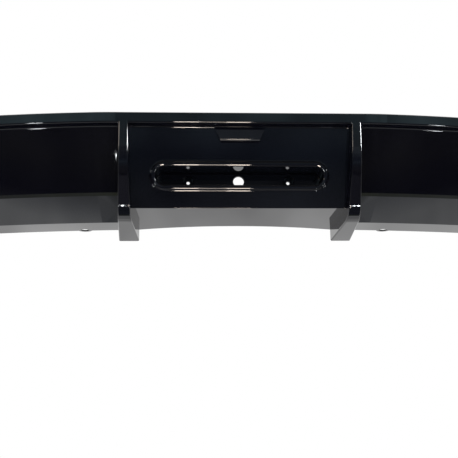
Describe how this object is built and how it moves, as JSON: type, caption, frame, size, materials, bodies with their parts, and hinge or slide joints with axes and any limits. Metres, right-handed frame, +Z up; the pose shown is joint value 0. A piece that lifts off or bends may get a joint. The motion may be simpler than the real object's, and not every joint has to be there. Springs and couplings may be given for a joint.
{
  "type": "rear bumper valance",
  "caption": "Swept rear bumper valance in gloss black: a full-width top band, hanging fins, a recessed panel with an insert pocket, and side wings; screws up under a bumper.",
  "frame": {"origin": "middle of the inner pair of top fixing holes, on the upper face of the top flange", "axes": "+X to the right seen from behind the car, +Y forward into the car, +Z up; the show face looks to -Y"},
  "size_m": [1.2394, 0.2289, 0.133],
  "materials": {
    "gloss_black": "high-gloss piano black moulding, satin on the hidden inner side"
  },
  "bodies": {
    "root": {"valance": "gloss_black"}
  },
  "joints": []
}
